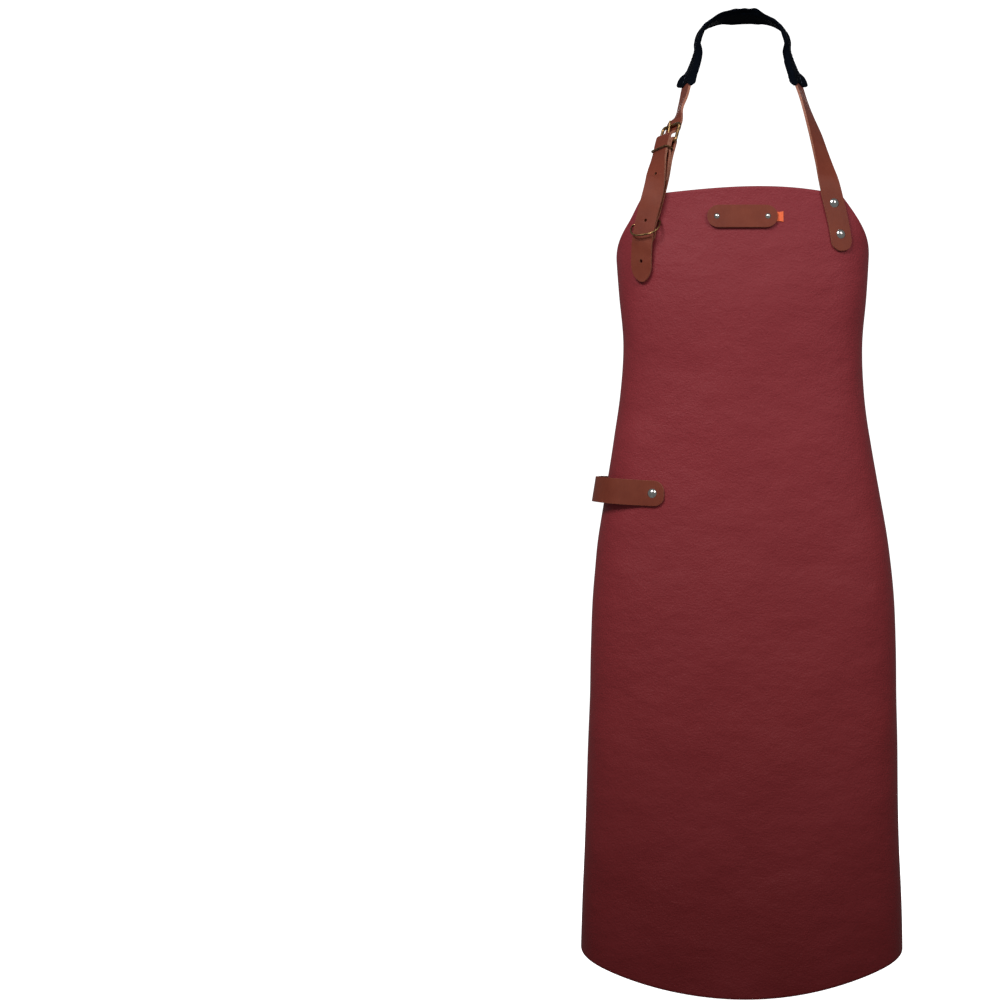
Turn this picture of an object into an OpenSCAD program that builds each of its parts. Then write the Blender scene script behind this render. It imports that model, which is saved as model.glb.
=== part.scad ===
// Leather bib apron: one hide panel, a neck strap with a canvas neck pad, two buckles,
// a towel loop and a blank name plate. Origin at the underside of the neck pad, where
// the apron hangs; the front of the apron faces -Y and +Z is up.

/* [Panel] */
// Thickness of the hide
panel_t = 1.8; // [1.4:0.1:2.4]
// Half of the panel's flat width below the armholes
panel_half_w = 325; // [300:5:345]
// Height from the middle of the bib's top edge to the middle of the hem
panel_h = 947; // [850:1:1000]
// Half of the bib's top edge, measured along the hide
bib_half_w = 118.5; // [112:0.5:126]
// How far the hem rises at the panel's side edges
hem_rise = 113; // [80:1:130]

/* [Wearer's form] */
// How fast the front turns back on each side, in degrees per millimetre
front_turn = 0.11; // [0.08:0.01:0.14]
// How far the hide turns round the wearer's side, in degrees
side_turn = 85; // [75:1:90]
// How gradual that turn is
side_softness = 15; // [12:1:18]

/* [Straps] */
// Width of every strap
strap_w = 25; // [24:0.5:26]
// Thickness of every strap
strap_t = 3; // [2.8:0.1:3.2]
// Width of the towel loop
loop_w = 30; // [26:1:34]
// Gap between the towel loop and the hide
loop_gap = 11; // [9:0.5:14]
// Length and height of the name plate
plate_size = [82, 26.6];
// Size of the woven label that shows beyond the name plate
label_size = [11, 12.5];

/* [Neck pad] */
// Width of the canvas sleeve
pad_w = 46; // [40:1:50]
// Thickness of the canvas sleeve with the strap inside
pad_t = 6.4; // [6:0.2:8]
// Half of the sleeve's length along the strap
pad_half_len = 142; // [120:1:150]

/* [Hardware] */
// Diameter of the buckle frame's wire
frame_wire = 3.8; // [3.4:0.1:4]
// Distance between the buckle's heel bar and its front bar
bar_pitch = 24; // [23:0.5:25]
// Diameter of the prong
prong_d = 2.6; // [2.4:0.1:2.8]
// Diameter of the strap rivets' caps
cap_d = 11; // [9:0.5:12]
// Diameter of the name plate rivets' caps
small_cap_d = 7; // [6:0.5:8]

/* [Hidden] */
$fn = 48;

burgundy = "#84383f";
brown = "#7a4230";
navy = "#10131c";
brass = "#8a6a42";
nickel = "#b9bcbf";
orange = "#f05a28";

gap = 0.45;                                    // air between a strap and the hide
on_hide = panel_t / 2 + gap + strap_t / 2;     // strap's middle above the hide's middle
post_r = 1.5;
hole_r = 1.55;
half_strap = strap_w / 2;

// ---------------------------------------------------------------- small helpers

function unit(v) = v / norm(v);
function total(values) = values * [for (v = values) 1];
function mix(a, b, t) = a + (b - a) * t;
function ease(t) = t <= 0 ? 0 : t >= 1 ? 1 : t * t * (3 - 2 * t);
function join_lists(lists) = [for (list = lists) for (item = list) item];
function reverse(list) = [for (i = [len(list) - 1:-1:0]) list[i]];
function steps(from, to, count) = [for (i = [0:count]) mix(from, to, i / count)];

// A smooth curve through evenly spaced knots, at knot position t
function spline_at(knots, t) =
    let (
        last = len(knots) - 1,
        i = min(max(floor(t), 0), last - 1),
        f = t - i,
        a = knots[max(i - 1, 0)],
        b = knots[i],
        c = knots[i + 1],
        d = knots[min(i + 2, last)]
    )
    0.5 * (2 * b + (c - a) * f + (2 * a - 5 * b + 4 * c - d) * f * f
        + (3 * b - a - 3 * c + d) * f * f * f);

// The same, through [x, y] knots that lie unevenly along x
function ease_at(knots, x) =
    x <= knots[0][0] ? knots[0][1] :
    x >= knots[len(knots) - 1][0] ? knots[len(knots) - 1][1] :
    let (
        i = [for (k = [0:len(knots) - 2]) if (x >= knots[k][0]) k],
        a = knots[i[len(i) - 1]],
        b = knots[i[len(i) - 1] + 1]
    )
    mix(a[1], b[1], ease((x - a[0]) / (b[0] - a[0])));

// ---------------------------------------------------------------- the wearer's form
// u runs along the hide from its middle, z is the height above the bib's top edge.

// Half width of the form every 60 mm down from the bib's top edge
form_half_widths = [151, 150.5, 147, 142.5, 145.5, 153.5, 163, 172.5, 179, 181, 181.5, 183.5, 185,
    186.5, 189, 191, 192];
// How far the front stands behind the chest, every 120 mm down
form_setback = [10, 0, 3, 0, -7, -12, -15, -17, -18];

function form_half_w(z) = spline_at(form_half_widths, max(-z, 0) / 60);
function form_front(z) = spline_at(form_setback, max(-z, 0) / 120);

// Where the turn round the side is centred, from the half width that it gives
function turn_centre(z) = (form_half_w(z) - 14.4) / 0.883;

function form_heading(u, z) =
    let (side = u < 0 ? -1 : 1, w = abs(u))
    side * (front_turn * w + side_turn / (1 + exp(-(w - turn_centre(z)) / side_softness)));

function form_point(u, z) =
    let (
        count = max(2, ceil(abs(u) / 9)),
        du = u / count,
        headings = [for (i = [0:count - 1]) form_heading((i + 0.5) * du, z)]
    )
    [du * total([for (h = headings) cos(h)]),
        form_front(z) + du * total([for (h = headings) sin(h)]),
        z];

function form_across(u, z) = let (h = form_heading(u, z)) [cos(h), sin(h), 0];
function form_normal(u, z) =
    unit(cross(form_across(u, z), form_point(u, min(z + 5, 0)) - form_point(u, z - 5)));
function above_form(u, z, height) = form_point(u, z) + height * form_normal(u, z);

// ---------------------------------------------------------------- swept shapes

// A closed mesh from rings of points, each ring the same length
function ring_faces(rings, sides) = [
    for (r = [0:rings - 2]) for (k = [0:sides - 1])
        let (a = r * sides + k, b = r * sides + (k + 1) % sides)
        each [[a, a + sides, b], [b, a + sides, b + sides]]
];
// An end is closed like a zip: point k of the ring lies across from point sides - 1 - k
function end_faces(rings, sides) =
    let (far = (rings - 1) * sides)
    [
        for (k = [0:sides / 2 - 2])
            let (a = k, b = k + 1, c = sides - 2 - k, d = sides - 1 - k)
            each [[a, b, d], [b, c, d], [far + d, far + b, far + a], [far + d, far + c, far + b]]
    ];

module skin(rings) {
    sides = len(rings[0]);
    polyhedron(join_lists(rings),
        concat(ring_faces(len(rings), sides), end_faces(len(rings), sides)));
}

// A route is a list of [s, point, facing]; these read it at any s
function route_tables(route) = [
    for (axis = [0:2]) [for (r = route) [r[0], r[1][axis]]],
    for (axis = [0:2]) [for (r = route) [r[0], r[2][axis]]]
];
function route_point(tables, s) = [for (axis = [0:2]) lookup(s, tables[axis])];
function route_along(tables, s) =
    unit(route_point(tables, s + 2) - route_point(tables, s - 2));
function route_facing(tables, s) =
    let (
        along = route_along(tables, s),
        raw = [for (axis = [3:5]) lookup(s, tables[axis])]
    )
    unit(raw - (raw * along) * along);
function route_across(tables, s) = cross(route_along(tables, s), route_facing(tables, s));

// A dense route from knots of [point, facing]; s is zero at knot zero_at
function measured_route(knots, zero_at, density = 8) =
    let (
        points = [for (k = knots) k[0]],
        facings = [for (k = knots) k[1]],
        count = (len(knots) - 1) * density,
        dense = [for (i = [0:count]) spline_at(points, i / density)],
        lengths = [
            for (i = 0, run = 0; i <= count;
                i = i + 1, run = i <= count ? run + norm(dense[i] - dense[i - 1]) : run)
                run
        ],
        zero = lengths[zero_at * density]
    )
    [for (i = [0:count]) [lengths[i] - zero, dense[i], spline_at(facings, i / density)]];

// A strap along a route. Each stop is [s, n, half width]: n is the height of the strap's
// middle above the route.
function strap_rings(tables, stops, thick) =
    let (
        middles = [
            for (p = stops) route_point(tables, p[0]) + p[1] * route_facing(tables, p[0])
        ],
        last = len(stops) - 1
    )
    [
        for (i = [0:last])
            let (
                along = unit(middles[min(i + 1, last)] - middles[max(i - 1, 0)]),
                across = route_across(tables, stops[i][0]),
                facing = unit(cross(across, along)),
                side = stops[i][2] * unit(cross(along, facing)),
                rise = facing * thick / 2
            )
            [
                middles[i] - side - rise,
                middles[i] - side + rise,
                middles[i] + side + rise,
                middles[i] + side - rise
            ]
    ];

// Half widths that round a strap's end off: distance d from the end, corner radius r
function end_half(half, r, d) =
    d >= r ? half : half - r + sqrt(max(0.04, r * r - (r - d) * (r - d)));
end_steps = [0, 0.4, 1.4, 3, 5.4, 8.6, 12];

// A strap's free tip narrows to a rounded point over tip_len
tip_len = 21;
tip_steps = [0, 0.3, 1.2, 2.8, 5, 8, 12, 16.5, 21];
function tip_half(half, d) =
    d >= tip_len ? half : half * pow(1 - pow(1 - max(d, 0.01) / tip_len, 2.2), 0.6);

// Local frame on a route: X across the strap, Y along it, Z out of it
function frame_at(tables, s, n = 0) =
    let (
        x = route_across(tables, s),
        y = route_along(tables, s),
        z = route_facing(tables, s),
        p = route_point(tables, s) + n * z
    )
    [[x[0], y[0], z[0], p[0]], [x[1], y[1], z[1], p[1]], [x[2], y[2], z[2], p[2]], [0, 0, 0, 1]];

module at_route(tables, s, n = 0) {
    multmatrix(frame_at(tables, s, n)) children();
}

// The same frame on the hide: X along u, Y up, Z out of the hide
module at_hide(u, z, n = 0) {
    x = form_across(u, z);
    out = form_normal(u, z);
    y = cross(out, x);
    p = above_form(u, z, n);
    multmatrix([[x[0], y[0], out[0], p[0]], [x[1], y[1], out[1], p[1]],
        [x[2], y[2], out[2], p[2]], [0, 0, 0, 1]]) children();
}

// Everything is designed round the bib's top edge, then moved so that the origin is on the
// neck pad's underside
module apron_frame() {
    translate(pad_t / 2 * nape[1] - nape[0]) children();
}

// ---------------------------------------------------------------- routes

// Neck strap, right half, from the bib up to the nape: [point, facing]
neck_side = [
    [[101.5, 19, 10], [0.36, -0.91, 0.2]],
    [[97, 25, 28], [0.58, -0.76, 0.22]],
    [[92, 32, 47], [0.71, -0.66, 0.25]],
    [[86.5, 40.5, 68], [0.79, -0.56, 0.28]],
    [[80, 49, 89], [0.88, -0.43, 0.25]],
    [[73, 61, 112], [0.92, -0.36, 0.2]],
    [[66, 74, 135], [0.92, -0.42, 0.16]],
    [[59, 87, 160], [0.95, -0.36, 0.12]],
    [[54.5, 99, 182], [0.97, -0.1, 0.22]],
    [[48.5, 110.5, 205], [0.72, -0.09, 0.67]],
    [[27.5, 121, 220.3], [0.25, 0.06, 0.96]]
];
nape = [[0, 125, 224], [0, 0.15, 0.989]];

// Along the hide below the bib's top edge, from the strap's lower end up: [u, z]
neck_on_hide = [[118.5, -73], [116.3, -57], [113.5, -41], [109.7, -24], [105.8, -8]];

// Where the neck buckle sits, and the straight run of strap on both sides of it
neck_buckle = [-84, 39, 65.8];
neck_buckle_along = unit([11, 18.5, 47]);
neck_buckle_facing = [-0.74, -0.61, 0.26];
neck_buckle_runs = [-36, -18, 0, 13, 20];
// Above that run, and between it and the bib
neck_above_run = [
    [[-75.6, 51.4, 94.8], [-0.93, -0.26, 0.22]],
    [[-70.5, 61, 112], [-0.92, -0.36, 0.2]]
];
neck_lift_off = [[-97.8, 20.5, 12], [-0.48, -0.85, 0.2]];

function mirrored(v) = [-v[0], v[1], v[2]];

// Tail hanging in front of the bib, left side: [u, z]
neck_tail = [[-117, -110], [-118, -93], [-117.5, -76], [-115.5, -59], [-112.5, -42],
    [-108.5, -25], [-104, -8]];

neck_knots = concat(
    [for (p = neck_tail) [above_form(p[0], p[1], on_hide), form_normal(p[0], p[1])]],
    [neck_lift_off],
    [for (d = neck_buckle_runs) [neck_buckle + d * neck_buckle_along, neck_buckle_facing]],
    neck_above_run,
    [for (i = [6:len(neck_side) - 1]) [mirrored(neck_side[i][0]), mirrored(neck_side[i][1])]],
    [nape],
    reverse(neck_side),
    [for (p = reverse(neck_on_hide)) [above_form(p[0], p[1], on_hide), form_normal(p[0], p[1])]]
);
// The knot at the buckle's middle
neck_zero = len(neck_tail) + 3;
neck_route = measured_route(neck_knots, neck_zero);
neck = route_tables(neck_route);
neck_s_min = neck_route[0][0];
neck_s_max = neck_route[len(neck_route) - 1][0];
// Where the strap's left side reaches height z
function neck_s_at(z) = lookup(z, [for (r = neck_route) if (r[0] < 0) [r[1][2], r[0]]]);

// The neck pad's stretch of the route, centred on the nape
pad_middle_s = lookup(0, [for (r = neck_route) if (r[0] > 60) [r[1][0], r[0]]]);
pad_s0 = pad_middle_s - pad_half_len;
pad_s1 = pad_middle_s + pad_half_len;
pad_stops = steps(pad_s0, pad_s1, 40);

// The waist strap runs along the hide's side edges and closes behind the back
waist_z = -313;
waist_edge_u = 326;
waist_flat = 34;                               // half of the straight run at the back
waist_end = above_form(waist_edge_u, waist_z, on_hide);
waist_turn = 180 - form_heading(waist_edge_u, waist_z);
waist_r = (waist_end[0] - waist_flat) / sin(waist_turn);
waist_y = waist_end[1] - waist_r * cos(waist_turn);

function waist_arc(a) = [
    [waist_flat + waist_r * sin(a), waist_y + waist_r * cos(a), waist_z],
    [sin(a), cos(a), 0]
];
waist_half = concat(
    [for (x = [0, 8.5, 17, 25.5]) [[x, waist_y + waist_r, waist_z], [0, 1, 0]]],
    [for (i = [0:7]) waist_arc(waist_turn * i / 8)],
    [
        for (d = [0, 17, 34, 51]) let (u = waist_edge_u - d)
            [above_form(u, waist_z, on_hide), form_normal(u, waist_z)]
    ]
);
waist_knots = concat(
    [for (k = reverse(waist_half)) [mirrored(k[0]), mirrored(k[1])]],
    [for (i = [1:len(waist_half) - 1]) waist_half[i]]
);
waist_route = measured_route(waist_knots, len(waist_half) - 1);
waist = route_tables(waist_route);
waist_s_max = waist_route[len(waist_route) - 1][0];

// ---------------------------------------------------------------- strap stacks
// Seen from the side, n is the height above the route and s runs up from the buckle's
// middle. The long strap comes down behind the front bar and out over the heel bar.

heel_s = -bar_pitch / 2;
front_s = bar_pitch / 2;
bar_r = frame_wire / 2;
fold_r = bar_r + 0.1 + strap_t / 2;            // middle of the strap folded round the bar
bar_n = fold_r;
over_heel = bar_n + fold_r + strap_t + 0.3;    // long strap's middle over the fold
leg_gap = strap_t + 0.35;
leg_end_s = heel_s - 50;
fold_rivet_s = heel_s - 30;

// On the bib's left corner: the short strap's end, its two rivets, the ring between them
short_end_s = neck_s_at(-65);
buckle_strap_rivets = [neck_s_at(-20.5), neck_s_at(-57.5)];
ring_s = neck_s_at(-39.5);

// Heights of the neck tail and of the waist tail
neck_tail_heights = [[neck_s_min, 1.8], [short_end_s - 9, 4.4], [buckle_strap_rivets[1] - 7, 6.4],
    [leg_end_s - 12, 7.2], [leg_end_s + 6, 9.4], [-44, 9.6], [-22, 9.9],
    [-16, over_heel]];
waist_tail_heights = [[-112, 4], [-86, 4], [-66, 6.8], [-60, 7.6], [-44, 9.6], [-22, 9.9],
    [-16, over_heel]];

function long_height(s, tail) =
    s > -8 ? over_heel * ease((7 - s) / 14) : ease_at(tail, s);

// Short strap, as [s, n]: up the back leg, round the heel bar, down the front leg
function fold_stops() = [
    for (a = steps(-90, 90, 12))
        [heel_s + fold_r * cos(a), bar_n + fold_r * sin(a)]
];
function front_leg(s) = mix(2 * bar_n, leg_gap, ease((heel_s - 7 - s) / 14));

// Buckle side view of the prong: it lifts from the heel bar to the front bar's face
prong_r = prong_d / 2;
prong_rise = atan((bar_r + prong_r + 0.15) / bar_pitch);
prong_len = bar_pitch + 4;
prong_ring_r = bar_r + 0.06;
prong_ring_t = 2.2;
prong_slot = 4.8;

// ---------------------------------------------------------------- leather

// Upper edge of the hide at u: the bib's top edge, then the armhole
function hide_top(u) =
    let (w = abs(u), t = (w - bib_half_w) / (panel_half_w - bib_half_w))
    w <= bib_half_w ?
        bib_rise - bib_dip * pow(w / bib_half_w, 2) + bib_skew * skewed(u / bib_half_w) :
    bib_rise - bib_dip - 1.2 * (w - bib_half_w) - 110 * pow(t, 4)
        - (u < 0 ? left_sag * ease((w - bib_half_w) / 20) : 0);
bib_rise = 2.5;
bib_skew = 4;                                   // its highest point is off centre
function skewed(t) = t * (1 - t * t);
bib_dip = 9;
left_sag = 8;                                  // the left armhole hangs a little lower

function hide_hem(u) = -panel_h + hem_rise * pow(u / panel_half_w, 2);

hide_half_us = concat(
    steps(0, bib_half_w, 9),
    steps(bib_half_w + 8, 240, 20),
    [for (u = [255, 272, 290, 308]) u],
    [panel_half_w]
);
hide_us = concat([for (u = reverse(hide_half_us)) -u],
    [for (i = [1:len(hide_half_us) - 1]) hide_half_us[i]]);
hide_rows = 26;

function hide_column(u, height) = [
    for (t = steps(0, 1, hide_rows)) above_form(u, mix(hide_top(u), hide_hem(u), t), height)
];

module hide_blank() {
    skin([
        for (u = hide_us)
            concat(hide_column(u, panel_t / 2), reverse(hide_column(u, -panel_t / 2)))
    ]);
}

module apron_panel() {
    color(burgundy) apron_frame() difference() {
        hide_blank();
        for (s = neck_rivets) at_route(neck, s, -on_hide) post_hole();
        for (s = buckle_strap_rivets) at_route(neck, s, -on_hide) post_hole();
        for (s = waist_rivets) at_route(waist, s, -on_hide) post_hole();
        for (u = [-plate_rivet_u, plate_rivet_u]) at_hide(u, plate_z) post_hole();
        for (p = loop_rivets) at_hide(p, loop_z(p)) post_hole();
    }
}

module post_hole() {
    cylinder(r = hole_r, h = 24, center = true, $fn = 32);
}

// The other rivets, at these distances from their strap's end
neck_rivets = [for (d = [20, 57.5]) neck_s_max - d];
waist_right_rivets = [for (d = [16, 36]) waist_s_max - d];
waist_left_rivets = [for (d = [16, 36]) d - waist_s_max];
waist_rivets = concat(waist_right_rivets, waist_left_rivets);

// The neck strap's stops: closer together where it weaves through the buckle
neck_stops_s = concat(
    [for (d = tip_steps) neck_s_min + d],
    steps(neck_s_min + 26, -30, 14),
    steps(-24, -9, 5),
    steps(-7, 7, 10),
    steps(12, pad_s0 - 4, 12),
    pad_stops,
    steps(pad_s1 + 4, neck_s_max - 14, 32),
    [for (d = reverse(end_steps)) neck_s_max - d]
);

module neck_strap() {
    stops = [
        for (s = neck_stops_s)
            [s, long_height(s, neck_tail_heights),
                min(tip_half(half_strap, s - neck_s_min), end_half(half_strap, 11.5, neck_s_max - s))]
    ];
    color(brown) apron_frame() difference() {
        skin(strap_rings(neck, stops, strap_t));
        prong_window(neck);
        for (s = neck_rivets) at_route(neck, s) post_hole();
        for (s = tail_holes) at_route(neck, s, long_height(s, neck_tail_heights)) tail_hole();
    }
}

tail_holes = [-159, -111, -56, 55];
tail_hole_r = 1.9;

module tail_hole() {
    cylinder(r = tail_hole_r, h = 6, center = true, $fn = 32);
}

// The strap hole that the prong holds open, seen from the side
module prong_window(tables) {
    window = [prong_d + 0.8, 9, prong_d + 2.6];
    at_route(tables, 0) translate([0, heel_s, bar_n]) rotate([prong_rise, 0, 0])
        translate([0, bar_pitch / 2 - 0.4, 1]) cube(window, center = true);
}

// Short strap round a heel bar: back leg from s_end up, then the fold and the front leg.
// It bulges by rise where the ring keeper's wire passes behind it.
module folded_strap(tables, s_end, rise, rivets) {
    back = [
        for (s = concat([for (d = end_steps) s_end + d],
                steps(s_end + 16, heel_s - 8, 26), [heel_s - 4]))
            [s, bulge_height(s, rise), end_half(half_strap, 11.5, s - s_end)]
    ];
    fold = [for (p = fold_stops()) [p[0], p[1], half_strap]];
    front = [
        for (s = concat([heel_s - 3], steps(heel_s - 5, heel_s - 20, 6),
                steps(heel_s - 24, leg_end_s + 15, 4), [for (d = reverse(end_steps)) leg_end_s + d]))
            [s, front_leg(s), end_half(half_strap, 4, s - leg_end_s)]
    ];
    color(brown) apron_frame() difference() {
        skin(strap_rings(tables, concat(back, fold, front), strap_t));
        at_route(tables, 0) translate([0, heel_s + 0.4, bar_n])
            cube([prong_slot, 11.4, 14], center = true);
        for (s = rivets) at_route(tables, s) post_hole();
    }
}

bulge_rise = 3.5;
bulge_flat = 4;
bulge_slope = 7.3;
function bulge_height(s, rise) = rise * (1 - ease((abs(s - ring_s) - bulge_flat) / bulge_slope));

module buckle_strap() {
    folded_strap(neck, short_end_s, bulge_rise, concat(buckle_strap_rivets, [fold_rivet_s]));
}

module waist_buckle_strap() {
    folded_strap(waist, -waist_s_max, 0, concat(waist_left_rivets, [fold_rivet_s]));
}

module waist_strap() {
    tip = -112;
    stops = [
        for (s = concat([for (d = tip_steps) tip + d], steps(tip + 26, -24, 12),
                steps(-20, -9, 4), steps(-7, 7, 10), steps(12, waist_s_max - 14, 26),
                [for (d = reverse(end_steps)) waist_s_max - d]))
            [s, long_height(s, waist_tail_heights),
                min(tip_half(half_strap, s - tip), end_half(half_strap, 11.5, waist_s_max - s))]
    ];
    color(brown) apron_frame() difference() {
        skin(strap_rings(waist, stops, strap_t));
        prong_window(waist);
        for (s = waist_right_rivets) at_route(waist, s) post_hole();
        for (s = waist_holes) at_route(waist, s, long_height(s, waist_tail_heights)) tail_hole();
    }
}
waist_holes = [-92, -50, 42, 84];

// ---------------------------------------------------------------- neck pad

// Half widths of the sleeve: its ends are cut off square and pucker in a little
function pad_half(s) = pad_w / 2 - 1.5 + 1.5 * ease(min(s - pad_s0, pad_s1 - s) / 18);

function oval(tables, s, half_w, half_t) =
    let (
        p = route_point(tables, s),
        x = route_across(tables, s),
        z = route_facing(tables, s)
    )
    [
        for (a = steps(0, -337.5, 15))
            p + x * half_w * sign(cos(a)) * pow(abs(cos(a)), 0.6) + z * half_t * sin(a)
    ];
function slot_ring(tables, s, half_w, half_t) =
    let (
        p = route_point(tables, s),
        x = route_across(tables, s),
        z = route_facing(tables, s),
        outline = [
            [1, 0], [1, 0.5], [1, 1], [0.5, 1], [0, 1], [-0.5, 1], [-1, 1], [-1, 0.5],
            [-1, 0], [-1, -0.5], [-1, -1], [-0.5, -1], [0, -1], [0.5, -1], [1, -1], [1, -0.5]
        ]
    )
    [for (k = outline) p + x * half_w * k[0] - z * half_t * k[1]];

// A sleeve: outer rings joined to inner rings at both ends
module sleeve(outer, inner) {
    rings = len(outer);
    sides = len(outer[0]);
    shift = rings * sides;
    outer_faces = ring_faces(rings, sides);
    inner_faces = [for (f = ring_faces(rings, sides)) [f[2] + shift, f[1] + shift, f[0] + shift]];
    function rim(base, flip) = [
        for (k = [0:sides - 1])
            let (a = base + k, b = base + (k + 1) % sides)
            each flip ? [[a, a + shift, b + shift], [a, b + shift, b]] :
                [[b, b + shift, a + shift], [b, a + shift, a]]
    ];
    polyhedron(concat(join_lists(outer), join_lists(inner)),
        concat(outer_faces, inner_faces, rim(0, false), rim((rings - 1) * sides, true)));
}

module neck_pad() {
    color(navy) apron_frame() sleeve(
        [for (s = pad_stops) oval(neck, s, pad_half(s), pad_t / 2)],
        [for (s = pad_stops) slot_ring(neck, s, half_strap + 0.8, strap_t / 2 + 0.5)]
    );
}

// The thread that closes the sleeve along its rear edge
module neck_pad_stitching() {
    count = 30;
    color("#2a2e3a") apron_frame() for (i = [0:count - 1]) {
        s = mix(pad_s0 + 8, pad_s1 - 8, i / (count - 1));
        at_route(neck, s, pad_t / 2 * 0.93) translate([-pad_w * 0.19, 0, 0.75])
            cube([0.8, 4.5, 0.5], center = true);
    }
}

// ---------------------------------------------------------------- name plate and label

plate_z = -33.4;
plate_rivet_u = 29.7;
plate_gap = 1;
plate_n = panel_t / 2 + plate_gap + strap_t / 2;

// A leather strip along the hide. Stops are [u, height, half width]; tilt lifts it per mm.
function strip_rings(stops, z, tilt, thick) = [
    for (p = stops)
        let (u = p[0], middle = z + tilt * u)
        [
            for (corner = [[-1, -1], [1, -1], [1, 1], [-1, 1]])
                above_form(u, middle + corner[0] * p[2], p[1] + corner[1] * thick / 2)
        ]
];

module name_plate() {
    half = plate_size[0] / 2;
    tall = plate_size[1] / 2;
    stops = [
        for (u = concat([for (d = end_steps) -half + d], steps(-half + 15, half - 15, 6),
                [for (d = reverse(end_steps)) half - d]))
            [u, plate_n, end_half(tall, 13, half - abs(u))]
    ];
    color(brown) apron_frame() difference() {
        skin(strip_rings(stops, plate_z, 0, strap_t));
        for (u = [-plate_rivet_u, plate_rivet_u]) at_hide(u, plate_z) post_hole();
    }
}

module flag_label() {
    tuck = plate_size[0] / 2 - 4;
    label_t = 0.6;
    stops = [
        for (u = steps(tuck, tuck + label_size[0], 4))
            [u, panel_t / 2 + 0.35 + label_t / 2, label_size[1] / 2]
    ];
    color(orange) apron_frame() skin(strip_rings(stops, plate_z, 0, label_t));
}

// ---------------------------------------------------------------- towel loop

loop_front_u = -92;
loop_rear_u = -266;
loop_rivet_end = 14;
loop_rivets = [loop_front_u - loop_rivet_end, loop_rear_u + loop_rivet_end];
loop_tilt = -0.045;
loop_mid_z = -363;
function loop_z(u) = loop_mid_z + loop_tilt * u;
function loop_height(u) =
    on_hide + loop_gap * ease((-u + loop_rivets[0] - 10) / 62) * ease((u - loop_rivets[1] - 10) / 44);

module towel_loop() {
    stops = [
        for (u = concat([for (d = end_steps) loop_rear_u + d], steps(loop_rear_u + 18, loop_front_u - 18, 24),
                [for (d = reverse(end_steps)) loop_front_u - d]))
            [u, loop_height(u), end_half(loop_w / 2, 12, min(u - loop_rear_u, loop_front_u - u))]
    ];
    color(brown) apron_frame() difference() {
        skin(strip_rings(stops, loop_mid_z, loop_tilt, strap_t));
        for (u = loop_rivets) at_hide(u, loop_z(u)) post_hole();
    }
}

// ---------------------------------------------------------------- buckles

// Part of a loop of round wire, bent to radius r about a centre, from one angle to another
module wire_bend(centre, r, from, to, wire) {
    translate([centre[0], centre[1], 0]) rotate([0, 0, from])
        rotate_extrude(angle = to - from) translate([r, 0]) circle(d = wire);
}

// A closed loop of round wire in the XY plane: its back bar at y = 0, its front at y = deep
module wire_frame(half, deep, back_r, front_r, wire) {
    for (bar = [[0, back_r], [deep, front_r]])
        translate([-half + bar[1], bar[0], 0]) rotate([0, 90, 0])
            cylinder(d = wire, h = 2 * (half - bar[1]));
    for (x = [-half, half]) translate([x, back_r, 0]) rotate([-90, 0, 0])
        cylinder(d = wire, h = deep - back_r - front_r);
    wire_bend([half - back_r, back_r], back_r, -90, 0, wire);
    wire_bend([-half + back_r, back_r], back_r, 180, 270, wire);
    wire_bend([half - front_r, deep - front_r], front_r, 0, 90, wire);
    wire_bend([-half + front_r, deep - front_r], front_r, 90, 180, wire);
}

frame_half = half_strap + 2.8;

module buckle_at(tables) {
    apron_frame() at_route(tables, 0) translate([0, heel_s, bar_n])
        wire_frame(frame_half, bar_pitch, 2.6, 4, frame_wire);
}

module buckle_frame() {
    color(brass) buckle_at(neck);
}

module waist_buckle_frame() {
    color(brass) buckle_at(waist);
}

module prong_at(tables) {
    wide = prong_d + 0.6;
    apron_frame() at_route(tables, 0) translate([0, heel_s, bar_n]) {
        difference() {
            union() {
                rotate([0, 90, 0]) cylinder(r = prong_ring_r + prong_ring_t, h = wide, center = true);
                rotate([prong_rise, 0, 0]) rotate([-90, 0, 0]) cylinder(r = prong_r, h = prong_len);
                rotate([prong_rise, 0, 0]) translate([0, prong_len, 0]) sphere(r = prong_r);
            }
            rotate([0, 90, 0]) cylinder(r = prong_ring_r, h = 3 * wide, center = true);
        }
    }
}

module buckle_prong() {
    color(brass) prong_at(neck);
}

module waist_buckle_prong() {
    color(brass) prong_at(waist);
}

// ---------------------------------------------------------------- keepers

keeper_wire = 2;
keeper_s = heel_s - 11.5;
keeper_n = strap_t / 2 + 0.4 + keeper_wire / 2;
keeper_deep = 10.4;
keeper_droop = 6;

module wire_keeper() {
    color(brass) apron_frame() at_route(neck, keeper_s, keeper_n)
        rotate([90 + keeper_droop, 0, 0])
            wire_frame(half_strap + 1.7, keeper_deep, 2.5, 2.5, keeper_wire);
}

ring_wire = 2.2;
ring_n = -on_hide + panel_t / 2 + 0.3 + ring_wire / 2;
ring_half = half_strap + 5.2;
ring_deep = 22.5;
ring_lean = 40;
ring_front_r = 13;
ring_skew = 18;                                // it hangs askew, and a little to one side
ring_shift = -1.6;

module ring_keeper() {
    color(brass) apron_frame() at_route(neck, ring_s, ring_n) translate([ring_shift, 0, 0])
        rotate([0, 0, ring_skew]) rotate([180 - ring_lean, 0, 0])
            wire_frame(ring_half, ring_deep, 4, ring_front_r, ring_wire);
}

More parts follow.
